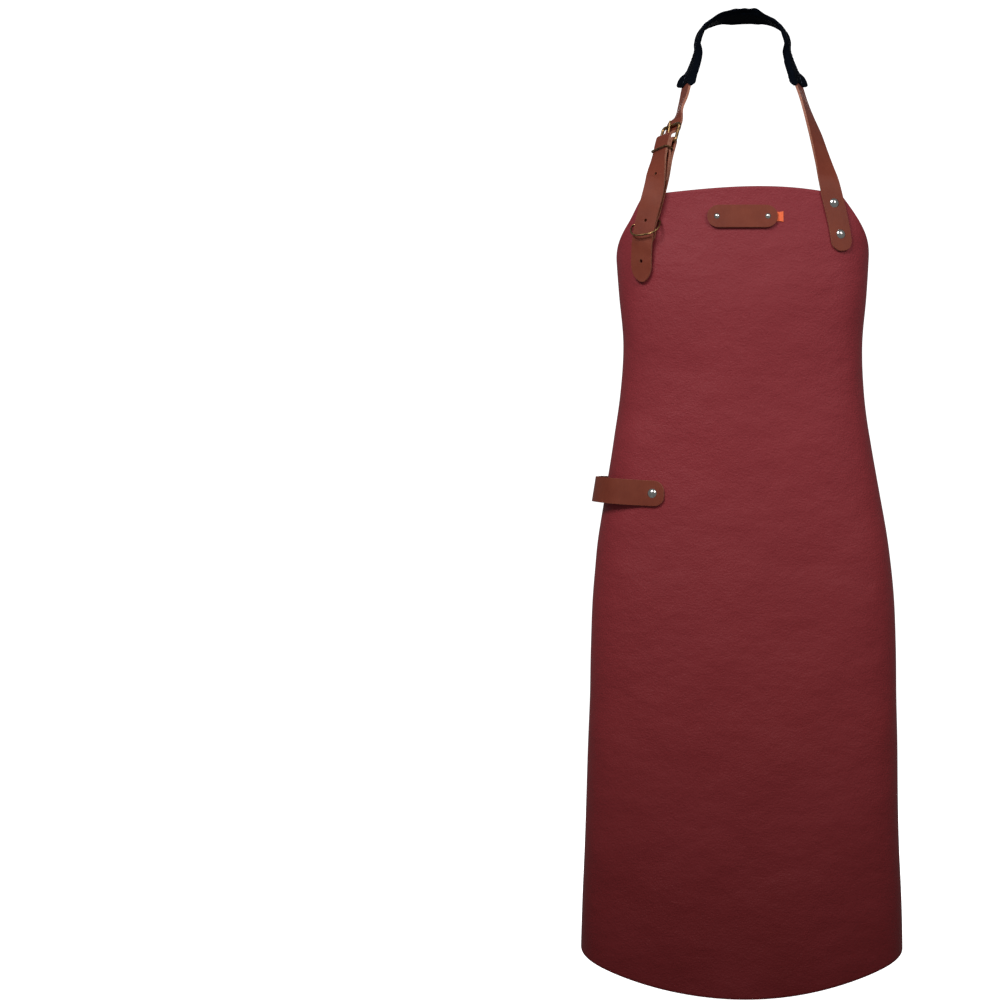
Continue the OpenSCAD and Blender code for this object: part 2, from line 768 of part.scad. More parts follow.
// Leather keeper of the waist tail: a flat band round both straps
band_s = -74;
band_w = 10;
band_t = 2;
band_low = -strap_t / 2 - 0.9;
band_high = 10;
module waist_keeper() {
    inner = [strap_w + 1.6, band_high - band_low];
    middle_n = (band_high + band_low) / 2;
    color(brown) apron_frame() at_route(waist, band_s, middle_n) rotate([90, 0, 0])
        linear_extrude(height = band_w, center = true) difference() {
            square([inner[0] + 2 * band_t, inner[1] + 2 * band_t], center = true);
            square(inner, center = true);
        }
}

// ---------------------------------------------------------------- rivets
// Z points out of the leather; z = 0 is the leather's outer face.

cap_lift = 0.17;

module rivet_cap(d, rise) {
    ball_r = (d * d / 4 + rise * rise) / (2 * rise);
    difference() {
        intersection() {
            translate([0, 0, cap_lift + rise - ball_r]) sphere(r = ball_r, $fn = 64);
            translate([0, 0, cap_lift]) cylinder(d = d + 1, h = rise + 1);
        }
        translate([0, 0, -1]) cylinder(r = post_r + 0.02, h = 1 + cap_lift + rise * 0.5);
    }
}

// depth is how far below the outer face the post's own head starts
module rivet_post(depth, rise, head_d) {
    translate([0, 0, -depth]) cylinder(r = post_r, h = depth + rise * 0.5);
    translate([0, 0, -depth - 1]) cylinder(d = head_d, h = 1);
}

cap_rise = 2.4;
small_rise = 1.9;
back_gap = 0.35;
through_hide = strap_t + gap + panel_t + back_gap;
through_plate = strap_t + plate_gap + panel_t + back_gap;
through_fold = leg_gap + strap_t + back_gap;

module route_caps(tables, stations, n = strap_t / 2) {
    color(nickel) apron_frame() for (s = stations) at_route(tables, s, n) rivet_cap(cap_d, cap_rise);
}

module route_posts(tables, stations, n = strap_t / 2, depth = through_hide) {
    color(nickel) apron_frame() for (s = stations) at_route(tables, s, n)
        rivet_post(depth, cap_rise, cap_d - 1.5);
}

module neck_strap_rivet_caps() {
    route_caps(neck, neck_rivets);
}

module neck_strap_rivet_posts() {
    route_posts(neck, neck_rivets);
}

module buckle_strap_rivet_caps() {
    route_caps(neck, buckle_strap_rivets);
    route_caps(neck, [fold_rivet_s], leg_gap + strap_t / 2);
}

module buckle_strap_rivet_posts() {
    route_posts(neck, buckle_strap_rivets);
    route_posts(neck, [fold_rivet_s], leg_gap + strap_t / 2, through_fold);
}

module waist_rivet_caps() {
    route_caps(waist, waist_rivets);
    route_caps(waist, [fold_rivet_s], leg_gap + strap_t / 2);
}

module waist_rivet_posts() {
    route_posts(waist, waist_rivets);
    route_posts(waist, [fold_rivet_s], leg_gap + strap_t / 2, through_fold);
}

module plate_rivet_caps() {
    color(nickel) apron_frame() for (u = [-plate_rivet_u, plate_rivet_u])
        at_hide(u, plate_z, plate_n + strap_t / 2) rivet_cap(small_cap_d, small_rise);
}

module plate_rivet_posts() {
    color(nickel) apron_frame() for (u = [-plate_rivet_u, plate_rivet_u])
        at_hide(u, plate_z, plate_n + strap_t / 2)
            rivet_post(through_plate, small_rise, small_cap_d - 0.5);
}

module towel_loop_rivet_caps() {
    color(nickel) apron_frame() for (u = loop_rivets)
        at_hide(u, loop_z(u), on_hide + strap_t / 2) rivet_cap(cap_d, cap_rise);
}

module towel_loop_rivet_posts() {
    color(nickel) apron_frame() for (u = loop_rivets)
        at_hide(u, loop_z(u), on_hide + strap_t / 2)
            rivet_post(through_hide, cap_rise, cap_d - 1.5);
}

apron_panel();
neck_strap();
neck_pad();
neck_pad_stitching();
buckle_strap();
buckle_frame();
buckle_prong();
wire_keeper();
ring_keeper();
neck_strap_rivet_caps();
neck_strap_rivet_posts();
buckle_strap_rivet_caps();
buckle_strap_rivet_posts();
name_plate();
plate_rivet_caps();
plate_rivet_posts();
flag_label();
towel_loop();
towel_loop_rivet_caps();
towel_loop_rivet_posts();
waist_strap();
waist_buckle_strap();
waist_buckle_frame();
waist_buckle_prong();
waist_keeper();
waist_rivet_caps();
waist_rivet_posts();
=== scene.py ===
"""Looks of the leather bib apron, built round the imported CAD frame, in metres."""

import math

import bmesh
import bpy
import numpy as np
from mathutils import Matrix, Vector
from mathutils.bvhtree import BVHTree


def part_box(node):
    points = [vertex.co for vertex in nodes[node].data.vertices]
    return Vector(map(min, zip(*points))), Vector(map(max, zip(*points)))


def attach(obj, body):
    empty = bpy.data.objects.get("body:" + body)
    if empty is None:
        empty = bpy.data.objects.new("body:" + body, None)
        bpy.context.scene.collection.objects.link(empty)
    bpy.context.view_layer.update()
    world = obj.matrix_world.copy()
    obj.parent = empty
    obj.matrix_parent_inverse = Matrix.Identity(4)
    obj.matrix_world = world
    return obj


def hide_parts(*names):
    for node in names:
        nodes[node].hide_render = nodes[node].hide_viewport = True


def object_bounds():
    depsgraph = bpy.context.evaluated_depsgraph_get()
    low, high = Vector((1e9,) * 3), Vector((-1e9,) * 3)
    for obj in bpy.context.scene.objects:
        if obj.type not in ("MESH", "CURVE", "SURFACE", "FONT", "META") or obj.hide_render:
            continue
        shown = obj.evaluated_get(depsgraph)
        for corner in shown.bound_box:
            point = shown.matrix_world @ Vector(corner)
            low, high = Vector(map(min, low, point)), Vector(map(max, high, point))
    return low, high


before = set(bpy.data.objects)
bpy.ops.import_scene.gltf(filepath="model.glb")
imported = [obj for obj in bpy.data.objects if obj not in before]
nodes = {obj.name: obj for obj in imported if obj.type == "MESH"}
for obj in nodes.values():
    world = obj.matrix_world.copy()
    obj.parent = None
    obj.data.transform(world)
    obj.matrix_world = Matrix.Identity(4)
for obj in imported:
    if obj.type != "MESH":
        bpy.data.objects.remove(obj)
cad_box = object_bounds()
scene = bpy.context.scene
MM = 0.001

# ------------------------------------------------------------ the apron's measures, in mm
# These repeat the part's own values: its origin is on the neck pad's underside.

NAPE = np.array([0.0, 125.0, 224.0])
NAPE_FACING = np.array([0.0, 0.15, 0.989])
PAD_T = 6.4
PAD_W = 46.0
PAD_HALF_LEN = 142.0
OFFSET = PAD_T / 2 * NAPE_FACING - NAPE

PANEL_T = 1.8
PANEL_HALF_W = 325.0
PANEL_H = 947.0
BIB_HALF_W = 118.5
BIB_RISE = 2.5
BIB_DIP = 9.0
BIB_SKEW = 4.0
ARMHOLE_SLOPE = 1.2
ARMHOLE_DROP = 110.0
LEFT_SAG = 8.0
HEM_RISE = 113.0
STRAP_T = 3.0
KEEPER_T = 2.0

# How the hide turns round the body: degrees for each mm across the front, then a soft side turn
FRONT_TURN = 0.11
SIDE_TURN = 85.0
SIDE_SOFTNESS = 15.0
SIDE_TURN_INSET = 14.4
WIDTH_PER_ARC = 0.883
# The form's half width every 60 mm down from the top, and its setback every 120 mm
WIDTH_STEP = 60
SETBACK_STEP = 120
FORM_HALF_WIDTHS = np.array([151, 150.5, 147, 142.5, 145.5, 153.5, 163, 172.5, 179, 181, 181.5,
                             183.5, 185, 186.5, 189, 191, 192])
FORM_SETBACK = np.array([10.0, 0, 3, 0, -7, -12, -15, -17, -18])

# The neck strap's course, as (point, facing), from each end of the pad up to the nape
NECK_LEFT = [
    ((-79.7, 46.2, 84), (-0.74, -0.61, 0.26)),
    ((-75.6, 51.4, 94.8), (-0.93, -0.26, 0.22)),
    ((-70.5, 61, 112), (-0.92, -0.36, 0.2)),
]
NECK_RIGHT = [
    ((86.5, 40.5, 68), (0.79, -0.56, 0.28)),
    ((80, 49, 89), (0.88, -0.43, 0.25)),
    ((73, 61, 112), (0.92, -0.36, 0.2)),
]
NECK_UPPER = [
    ((66, 74, 135), (0.92, -0.42, 0.16)),
    ((59, 87, 160), (0.95, -0.36, 0.12)),
    ((54.5, 99, 182), (0.97, -0.1, 0.22)),
    ((48.5, 110.5, 205), (0.72, -0.09, 0.67)),
    ((27.5, 121, 220.3), (0.25, 0.06, 0.96)),
]


# ------------------------------------------------------------ small helpers

def ease(t):
    t = np.clip(t, 0, 1)
    return t * t * (3 - 2 * t)


def spline_at(knots, t):
    """A smooth curve through evenly spaced knots; knots is an array, t a number or an array."""
    last = len(knots) - 1
    i = np.clip(np.floor(t).astype(int), 0, last - 1)
    f = t - i
    if np.ndim(knots) > 1:
        f = np.asarray(f)[..., None]
    a, b = knots[np.maximum(i - 1, 0)], knots[i]
    c, d = knots[i + 1], knots[np.minimum(i + 2, last)]
    return 0.5 * (2 * b + (c - a) * f + (2 * a - 5 * b + 4 * c - d) * f ** 2
                  + (3 * b - a - 3 * c + d) * f ** 3)


def unit(v):
    return v / np.linalg.norm(v, axis=-1, keepdims=True)


def new_object(name, vertices, faces, smooth=True):
    mesh = bpy.data.meshes.new(name)
    mesh.from_pydata([tuple(v) for v in vertices], [], faces)
    mesh.polygons.foreach_set("use_smooth", [smooth] * len(mesh.polygons))
    mesh.update()
    obj = bpy.data.objects.new(name, mesh)
    scene.collection.objects.link(obj)
    return obj


def coordinates(obj):
    co = np.empty(len(obj.data.vertices) * 3)
    obj.data.vertices.foreach_get("co", co)
    return co.reshape(-1, 3)


def only_selected(obj):
    for other in bpy.context.selected_objects:
        other.select_set(False)
    obj.select_set(True)
    bpy.context.view_layer.objects.active = obj


# ------------------------------------------------------------ materials

class Nodes:
    """A material's node tree, with short calls for the nodes used here."""

    def __init__(self, name):
        self.material = bpy.data.materials.new(name)
        self.material.use_nodes = True
        self.tree = self.material.node_tree
        self.shader = self.tree.nodes["Principled BSDF"]
        self.place = self.add("ShaderNodeTexCoord").outputs["Object"]

    def add(self, kind, inputs=None, **settings):
        node = self.tree.nodes.new(kind)
        for key, value in settings.items():
            setattr(node, key, value)
        for key, value in (inputs or {}).items():
            self.set(node.inputs[key], value)
        return node

    def set(self, socket, value):
        if isinstance(value, bpy.types.NodeSocket):
            self.tree.links.new(value, socket)
        else:
            socket.default_value = value

    def noise(self, scale, detail=3.0, rough=0.55, place=None, stretch=None, turn=0):
        place = place or self.place
        if stretch:
            place = self.add("ShaderNodeMapping", {
                "Vector": place, "Scale": stretch,
                "Rotation": (0, math.radians(turn), 0)}).outputs[0]
        return self.add("ShaderNodeTexNoise", {
            "Vector": place, "Scale": scale, "Detail": detail, "Roughness": rough}).outputs["Fac"]

    def cells(self, scale, place=None):
        return self.add("ShaderNodeTexVoronoi", {"Vector": place or self.place, "Scale": scale},
                        feature="DISTANCE_TO_EDGE").outputs["Distance"]

    def math(self, operation, a, b=0.0):
        return self.add("ShaderNodeMath", {0: a, 1: b}, operation=operation).outputs[0]

    def spread(self, value, low, high, to_low=0.0, to_high=1.0):
        return self.add("ShaderNodeMapRange", {
            "Value": value, "From Min": low, "From Max": high,
            "To Min": to_low, "To Max": to_high}).outputs["Result"]

    def mix(self, amount, a, b, blend="MIX"):
        node = self.add("ShaderNodeMix", data_type="RGBA", blend_type=blend)
        self.set(node.inputs[0], amount)
        self.set(node.inputs[6], a)
        self.set(node.inputs[7], b)
        return node.outputs[2]

    def bump(self, height, strength, distance, under=None):
        inputs = {"Height": height, "Strength": strength, "Distance": distance}
        if under is not None:
            inputs["Normal"] = under
        return self.add("ShaderNodeBump", inputs).outputs["Normal"]

    def finish(self, **sockets):
        for name, value in sockets.items():
            self.set(self.shader.inputs[name.replace("_", " ")], value)
        return self.material


def colour(hex_code):
    """A screen colour such as 8a3b42 as a linear one."""
    parts = [int(hex_code[i:i + 2], 16) / 255 for i in (0, 2, 4)]
    linear = [p / 12.92 if p <= 0.04045 else ((p + 0.055) / 1.055) ** 2.4 for p in parts]
    return (*linear, 1.0)


# heights between which the hide's colour darkens towards the hem, as painted shade
BIB_LEVEL, HEM_LEVEL = -0.25, -1.16


def hide_material():
    """Burgundy full-grain hide: pebbled, softly mottled, and darker towards the hem as painted
    shade of the light's falloff.
    """
    m = Nodes("burgundy_hide")
    height = m.add("ShaderNodeSeparateXYZ", {0: m.place}).outputs[2]
    # painted shade: the colour darkens from the bib down to the hem, standing in for the light
    # falling off down the hide
    down = m.spread(height, BIB_LEVEL, HEM_LEVEL)
    hem_shade_ramp = m.add("ShaderNodeValToRGB", {"Fac": down})
    hem_shade_stops = [(0.0, "852f36"), (0.3, "8a3036"), (0.65, "7c272b"), (1.0, "5a1315")]
    for i, (at, code) in enumerate(hem_shade_stops):
        stop = hem_shade_ramp.color_ramp.elements[i] if i < 2 else hem_shade_ramp.color_ramp.elements.new(at)
        stop.position = at
        stop.color = colour(code)
    clouds = m.noise(9, 4, 0.6)
    base = m.mix(m.spread(clouds, 0.35, 0.7, 0.0, 0.25), hem_shade_ramp.outputs[0], colour("7a262c"))
    warp = m.add("ShaderNodeTexNoise", {"Vector": m.place, "Scale": 120, "Detail": 2})
    bent = m.add("ShaderNodeMix", data_type="VECTOR")
    m.set(bent.inputs[0], 0.006)
    m.set(bent.inputs[4], m.place)
    m.set(bent.inputs[5], warp.outputs["Color"])
    pebble = m.spread(m.cells(430, bent.outputs[1]), 0.0, 0.2)
    base = m.mix(m.spread(pebble, 0.0, 0.7, 0.12, 0.0), base, colour("4e1216"))
    wrinkles = m.noise(380, 3, 0.6, stretch=(1.0, 1.0, 1.2), turn=40)
    creases = m.noise(46, 3, 0.5, stretch=(1.0, 1.0, 1.4), turn=-20)
    slow = m.noise(13, 3, 0.5, stretch=(1.0, 1.0, 1.3))
    normal = m.bump(slow, 0.5, 0.010)
    normal = m.bump(creases, 0.3, 0.0022, normal)
    normal = m.bump(wrinkles, 0.75, 0.0010, normal)
    normal = m.bump(pebble, 0.25, 0.0003, normal)
    rough = m.spread(clouds, 0.3, 0.7, 0.46, 0.56)
    return m.finish(Base_Color=base, Roughness=rough, Normal=normal, Specular_IOR_Level=0.16)


def suede_material():
    """The flesh side of the hide: short nap, no gloss."""
    m = Nodes("burgundy_suede")
    nap = m.noise(900, 3, 0.7)
    clouds = m.noise(14, 4, 0.6)
    base = m.mix(m.spread(clouds, 0.3, 0.7), colour("7d4145"), colour("8f5053"))
    base = m.mix(m.spread(nap, 0.3, 0.7, 0.0, 0.3), base, colour("643034"))
    return m.finish(Base_Color=base, Roughness=0.95, Normal=m.bump(nap, 0.4, 0.0005),
                    Specular_IOR_Level=0.15, Sheen_Weight=0.25)


def hide_edge_material():
    """The hide's own cut edge: a dark red-brown line."""
    m = Nodes("hide_cut_edge")
    fibres = m.noise(500, 3)
    base = m.mix(m.spread(fibres, 0.35, 0.65), colour("5a2426"), colour("7c3a3c"))
    return m.finish(Base_Color=base, Roughness=0.7, Normal=m.bump(fibres, 0.3, 0.0003))


def strap_material(name="brown_leather", light=0.0):
    """Smooth brown bridle leather with a faint grain, scuffs and pull-up clouds."""
    m = Nodes(name)
    clouds = m.noise(28, 4, 0.6)
    fine = m.noise(700, 3, 0.6)
    streaks = m.noise(60, 3, 0.6, stretch=(6.0, 6.0, 1.0))
    dark, mid, pale = colour("6c3124"), colour("793a2a"), colour("874733")
    base = m.mix(m.spread(clouds, 0.3, 0.7), dark, mid)
    base = m.mix(m.spread(streaks, 0.5, 0.8, 0.0, 0.2), base, pale)
    base = m.mix(m.spread(fine, 0.5, 0.75, 0.0, 0.18), base, dark)
    if light:
        base = m.mix(light, base, colour("b98362"))
    pores = m.spread(m.cells(1400), 0.0, 0.12)
    normal = m.bump(m.noise(90, 3, 0.5), 0.12, 0.0012)
    normal = m.bump(pores, 0.16, 0.0002, normal)
    rough = m.spread(clouds, 0.3, 0.7, 0.38, 0.52)
    return m.finish(Base_Color=base, Roughness=rough, Normal=normal, Specular_IOR_Level=0.13)


def cut_edge_material():
    """The straps' cut edges: paler, dyed unevenly, burnished."""
    m = Nodes("cut_edge")
    fibres = m.noise(420, 3, 0.6, stretch=(1.0, 1.0, 3.0))
    base = m.mix(m.spread(fibres, 0.35, 0.65), colour("7d4434"), colour("a87058"))
    return m.finish(Base_Color=base, Roughness=0.5, Normal=m.bump(fibres, 0.3, 0.0003),
                    Specular_IOR_Level=0.45)


def canvas_material():
    """Near-black navy canvas; the weave follows the sleeve through its own coordinates."""
    m = Nodes("navy_canvas")
    run = m.add("ShaderNodeAttribute", attribute_name="weave").outputs["Vector"]
    warp = m.add("ShaderNodeTexWave", {"Vector": run, "Scale": 400.0, "Distortion": 0.6,
                                       "Detail": 1.0}, bands_direction="X").outputs["Fac"]
    weft = m.add("ShaderNodeTexWave", {"Vector": run, "Scale": 400.0, "Distortion": 0.6,
                                       "Detail": 1.0}, bands_direction="Y").outputs["Fac"]
    weave = m.math("MAXIMUM", warp, weft)
    slub = m.noise(260, 3, 0.6)
    base = m.mix(m.spread(weave, 0.2, 1.0), colour("030509"), colour("0a0e16"))
    base = m.mix(m.spread(slub, 0.5, 0.8, 0.0, 0.3), base, colour("131a28"))
    normal = m.bump(m.noise(45, 4, 0.6), 0.3, 0.002)
    normal = m.bump(weave, 0.5, 0.0004, normal)
    return m.finish(Base_Color=base, Roughness=0.9, Normal=normal, Specular_IOR_Level=0.02)


def label_material():
    """Orange woven tape with ribs across it."""
    m = Nodes("orange_tape")
    ribs = m.add("ShaderNodeTexWave", {"Vector": m.place, "Scale": 700.0, "Distortion": 0.3},
                 bands_direction="Z").outputs["Fac"]
    base = m.mix(ribs, colour("e2501f"), colour("ff7a44"))
    base = m.mix(m.spread(m.noise(300, 3), 0.5, 0.8, 0.0, 0.4), base, colour("ff9a6a"))
    return m.finish(Base_Color=base, Roughness=0.7, Normal=m.bump(ribs, 0.4, 0.0002),
                    Sheen_Weight=0.2)


def thread_material():
    """Twisted navy thread, a little lighter than the canvas."""
    m = Nodes("navy_thread")
    twist = m.add("ShaderNodeTexWave", {"Vector": m.place, "Scale": 900.0, "Distortion": 1.0},
                  bands_direction="DIAGONAL").outputs["Fac"]
    base = m.mix(twist, colour("1d2230"), colour("3b4358"))
    return m.finish(Base_Color=base, Roughness=0.65, Normal=m.bump(twist, 0.5, 0.0002))


def brass_material():
    """Antique brass: dark patina rubbed brighter in patches, fine brushing."""
    m = Nodes("antique_brass_metal")
    patches = m.noise(220, 4, 0.65)
    brushing = m.noise(900, 2, 0.6, stretch=(1.0, 1.0, 5.0))
    base = m.mix(m.spread(patches, 0.38, 0.62), colour("5e4a34"), colour("a78356"))
    base = m.mix(m.spread(brushing, 0.55, 0.8, 0.0, 0.4), base, colour("3c2e20"))
    rough = m.spread(patches, 0.35, 0.7, 0.42, 0.24)
    return m.finish(Base_Color=base, Metallic=1.0, Roughness=rough,
                    Normal=m.bump(brushing, 0.12, 0.0001))


def nickel_material():
    """Polished nickel with light wear."""
    m = Nodes("polished_nickel")
    wear = m.noise(350, 4, 0.6)
    base = m.mix(m.spread(wear, 0.4, 0.7), colour("c9c8c5"), colour("a5a39f"))
    rough = m.spread(wear, 0.35, 0.75, 0.12, 0.30)
    return m.finish(Base_Color=base, Metallic=1.0, Roughness=rough,
                    Normal=m.bump(wear, 0.05, 0.0001))


HIDE, SUEDE, EDGE_HIDE = hide_material(), suede_material(), hide_edge_material()
STRAP, EDGE = strap_material(), cut_edge_material()
FLESH = strap_material("brown_flesh_side", 0.3)
CANVAS, LABEL, THREAD = canvas_material(), label_material(), thread_material()
BRASS, NICKEL = brass_material(), nickel_material()


# ------------------------------------------------------------ the hide

def form_half_w(z):
    return spline_at(FORM_HALF_WIDTHS, np.maximum(-z, 0) / WIDTH_STEP)


def form_front(z):
    return spline_at(FORM_SETBACK, np.maximum(-z, 0) / SETBACK_STEP)


def form_heading(u, z):
    turn_centre = (form_half_w(z) - SIDE_TURN_INSET) / WIDTH_PER_ARC
    w = np.abs(u)
    turn = FRONT_TURN * w + SIDE_TURN / (1 + np.exp(-(w - turn_centre) / SIDE_SOFTNESS))
    return np.radians(np.sign(u) * turn)


def form_point(u, z, count=48):
    x, y = np.zeros_like(u), form_front(z)
    for i in range(count):
        heading = form_heading((i + 0.5) / count * u, z)
        x = x + u / count * np.cos(heading)
        y = y + u / count * np.sin(heading)
    return np.stack([x, y, z], -1)


def form_normal(u, z):
    heading = form_heading(u, z)
    across = np.stack([np.cos(heading), np.sin(heading), np.zeros_like(u)], -1)
    rise = form_point(u, np.minimum(z + 5, 0)) - form_point(u, z - 5)
    return unit(np.cross(across, rise))


def hide_top(u):
    w = np.abs(u)
    out = np.maximum(w - BIB_HALF_W, 0)
    side = np.clip(u / BIB_HALF_W, -1, 1)
    bib = BIB_RISE - BIB_DIP * side ** 2 + BIB_SKEW * side * (1 - side ** 2)
    t = out / (PANEL_HALF_W - BIB_HALF_W)
    sag = np.where(u < 0, LEFT_SAG * ease(out / 20), 0)
    return bib - ARMHOLE_SLOPE * out - ARMHOLE_DROP * t ** 4 - sag


def hide_hem(u):
    return -PANEL_H + HEM_RISE * (u / PANEL_HALF_W) ** 2


def near(u, z, centre, size):
    """1 at a fitting's place on the hide, fading to 0 beyond its size."""
    distance = np.sqrt(((u - centre[0]) / size[0]) ** 2 + ((z - centre[1]) / size[1]) ** 2)
    return 1 - ease(distance - 1)


def hide_drape(u, z):
    """Soft waves of the hanging hide, still where something is fastened to it."""
    held = [((0, -34), (70, 40)), ((-112, -50), (45, 90)), ((112, -40), (45, 70)),
            ((-180, -355), (125, 50)), ((300, -313), (70, 50)), ((-300, -313), (70, 50))]
    free = np.ones_like(u)
    for centre, size in held:
        free = free * (1 - near(u, z, centre, size))
    waves = 1.3 * np.sin(u / 46 + z / 170) * np.sin(z / 95 + 0.6)
    waves = waves + 0.8 * np.sin(u / 23 - z / 120 + 1.0) * np.sin(z / 61)
    hem = 3.0 * ease((-z - 620) / 330) * np.sin(u / 58 + 0.5)
    return free * (waves + hem)


def make_hide():
    """Front and back surfaces of the hide, joined round a softened cut edge."""
    soft = 0.5
    half = PANEL_HALF_W - soft
    us = np.concatenate([-np.linspace(half, 0, 110)[:-1], np.linspace(0, half, 110)])
    ts = np.linspace(0, 1, 300)
    u, t = np.meshgrid(us, ts, indexing="ij")
    z = (hide_top(u) - soft) * (1 - t) + (hide_hem(u) + soft) * t
    normal = form_normal(u, z)
    middle = form_point(u, z) + hide_drape(u, z)[..., None] * normal
    front, back = middle + PANEL_T / 2 * normal, middle - PANEL_T / 2 * normal
    columns, rows = u.shape
    rim = [(0, r) for r in range(rows)] + [(c, rows - 1) for c in range(1, columns)]
    rim += [(columns - 1, r) for r in range(rows - 2, -1, -1)]
    rim += [(c, 0) for c in range(columns - 2, 0, -1)]
    rim_c, rim_r = np.array(rim).T
    inner = middle[np.clip(rim_c, 1, columns - 2), np.clip(rim_r, 1, rows - 2)]
    out = soft * unit(middle[rim_c, rim_r] - inner)
    lift = (PANEL_T / 2 - soft) * normal[rim_c, rim_r]
    edge_front = middle[rim_c, rim_r] + out + lift
    edge_back = middle[rim_c, rim_r] + out - lift
    size, ring = columns * rows, len(rim)
    points = np.concatenate([front.reshape(-1, 3), back.reshape(-1, 3), edge_front, edge_back])
    faces, kinds = [], []
    for c in range(columns - 1):
        for r in range(rows - 1):
            a, b = c * rows + r, (c + 1) * rows + r
            faces += [(a, a + 1, b + 1, b), (size + a, size + b, size + b + 1, size + a + 1)]
            kinds += [0, 1]
    grid = rim_c * rows + rim_r
    for k in range(ring):
        j = (k + 1) % ring
        loops = [grid, 2 * size + np.arange(ring), 2 * size + ring + np.arange(ring), size + grid]
        for upper, lower in zip(loops, loops[1:]):
            faces.append((int(upper[k]), int(lower[k]), int(lower[j]), int(upper[j])))
            kinds.append(2)
    obj = new_object("hide_panel", (points + OFFSET) * MM, faces)
    for material in (HIDE, SUEDE, EDGE_HIDE):
        obj.data.materials.append(material)
    obj.data.polygons.foreach_set("material_index", kinds)
    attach(obj, "apron")
    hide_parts("apron_panel")


# ------------------------------------------------------------ pieces that follow a CAD solid

SHARP = math.radians(50)
CREASE = math.radians(40)


def rounded_copy(node, name, soften):
    """A copy of a CAD node's shape whose sharp edges are rounded over."""
    bm = bmesh.new()
    bm.from_mesh(nodes[node].data)
    bmesh.ops.remove_doubles(bm, verts=bm.verts, dist=2e-6)
    bmesh.ops.dissolve_degenerate(bm, edges=bm.edges, dist=1e-6)
    edges = [e for e in bm.edges if len(e.link_faces) == 2 and e.calc_face_angle() > SHARP]
    bmesh.ops.bevel(bm, geom=edges, offset=soften, segments=3, profile=0.6, affect="EDGES",
                    clamp_overlap=True)
    bmesh.ops.recalc_face_normals(bm, faces=bm.faces)
    for face in bm.faces:
        face.smooth = True
    for e in bm.edges:
        e.smooth = not (len(e.link_faces) == 2 and e.calc_face_angle() > CREASE)
    mesh = bpy.data.meshes.new(name)
    bm.to_mesh(mesh)
    bm.free()
    obj = bpy.data.objects.new(name, mesh)
    scene.collection.objects.link(obj)
    weighted = obj.modifiers.new("even_shading", "WEIGHTED_NORMAL")
    weighted.keep_sharp = True
    return obj


TRUNK_X, TRUNK_Y = 0.0, -0.02
GRAIN_FACE, FLESH_FACE, EDGE_FACE = 0, 1, 2


def leather_piece(node, body="apron", soften=0.7 * MM, thick=STRAP_T * MM):
    """A leather strip: grain outside, flesh towards the wearer, and paler cut edges."""
    obj = rounded_copy(node, node + "_leather", soften)
    for material in (STRAP, FLESH, EDGE):
        obj.data.materials.append(material)
    mesh = obj.data
    tree = BVHTree.FromPolygons([v.co for v in mesh.vertices], [p.vertices for p in mesh.polygons])
    for p in mesh.polygons:
        hit = tree.ray_cast(p.center - p.normal * 2e-5, -p.normal)
        through = hit[3] is not None and hit[3] < 1.3 * thick
        away = (p.center.x - TRUNK_X) * p.normal.x + (p.center.y - TRUNK_Y) * p.normal.y
        face = GRAIN_FACE if away > 0 else FLESH_FACE
        p.material_index = face if through else EDGE_FACE
    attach(obj, body)
    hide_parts(node)
    return obj


def solid_piece(node, name, body, material, soften):
    """A rounded copy in one material that stands for its CAD node."""
    obj = rounded_copy(node, name, soften)
    obj.data.materials.append(material)
    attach(obj, body)
    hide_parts(node)
    return obj


def make_label():
    """The woven tab, a little pinched between its ends."""
    obj = solid_piece("flag_label", "woven_tab", "apron", LABEL, 0.2 * MM)
    low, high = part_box("flag_label")
    middle = (low + high) / 2
    for v in obj.data.vertices:
        along = (v.co.x - low.x) / (high.x - low.x)
        v.co.z = middle.z + (v.co.z - middle.z) * (1 - 0.12 * math.sin(math.pi * along))


# ------------------------------------------------------------ neck pad

class NeckRun:
    """The strap's course through the neck pad; s is measured from the nape, in mm."""

    def __init__(self):
        mirror = np.array([-1.0, 1.0, 1.0])
        upper = [(p * mirror, f * mirror) for p, f in NECK_UPPER]
        knots = NECK_LEFT + upper + [(NAPE, NAPE_FACING)] + (NECK_RIGHT + NECK_UPPER)[::-1]
        fine = 40
        spots = np.linspace(0, len(knots) - 1, fine * (len(knots) - 1) + 1)
        self.points = spline_at(np.array([k[0] for k in knots], float), spots)
        self.facings = spline_at(np.array([k[1] for k in knots], float), spots)
        steps = np.linalg.norm(np.diff(self.points, axis=0), axis=1)
        self.s = np.concatenate([[0], np.cumsum(steps)])
        self.s = self.s - self.s[fine * (len(NECK_LEFT) + len(NECK_UPPER))]

    def read(self, table, s):
        return np.stack([np.interp(s, self.s, table[:, k]) for k in range(3)], -1)

    def at(self, s):
        """The run's point, its direction, its outward facing and the way across it, at s."""
        point = self.read(self.points, s)
        along = unit(self.read(self.points, s + 2) - self.read(self.points, s - 2))
        facing = self.read(self.facings, s)
        facing = unit(facing - (facing * along).sum(-1, keepdims=True) * along)
        return point, along, facing, np.cross(along, facing)


RUN = NeckRun()
SEAM_X = 8.7
STITCHES = 44
RIM_HALF_T = 1.1
STRAP_COVER = 2.6
CLOTH_FRAMES = 20


def outward(s):
    """How far the sleeve's ends hang out past the strap's rear edge, in mm."""
    return 3.0 * ease((np.abs(s) - PAD_HALF_LEN + 45) / 40)


